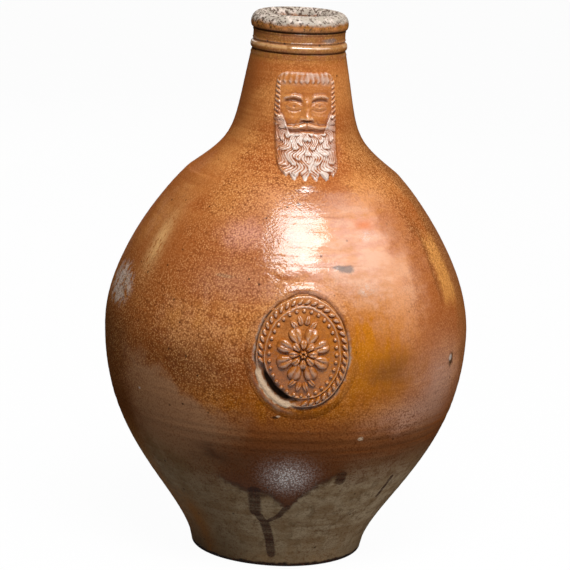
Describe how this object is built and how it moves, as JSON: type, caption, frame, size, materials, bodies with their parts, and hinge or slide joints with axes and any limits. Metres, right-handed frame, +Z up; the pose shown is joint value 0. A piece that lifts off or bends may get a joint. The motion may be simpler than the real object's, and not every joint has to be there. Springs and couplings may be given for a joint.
{
  "type": "bartmann jug",
  "caption": "Bulbous salt-glazed stoneware jug with a narrow neck, a strap handle, a bearded mask in relief on the neck and an oval rosette medallion on the belly.",
  "frame": {"origin": "centre of the flat standing face", "axes": "+Z up along the throwing axis, -Y towards the bearded mask, +Y towards the handle"},
  "size_m": [0.234, 0.2382, 0.35],
  "materials": {
    "bare_stoneware": "thin salt glaze over grey-brown stoneware",
    "brown_salt_glaze": "glossy mottled salt glaze over an iron-brown wash",
    "sprig_glaze": "glossy salt glaze, worn pale on the relief"
  },
  "bodies": {
    "root": {"base_section": "bare_stoneware", "shoulder_section": "brown_salt_glaze", "neck": "brown_salt_glaze", "handle": "brown_salt_glaze", "face_mask": "sprig_glaze", "medallion": "sprig_glaze"}
  },
  "joints": []
}
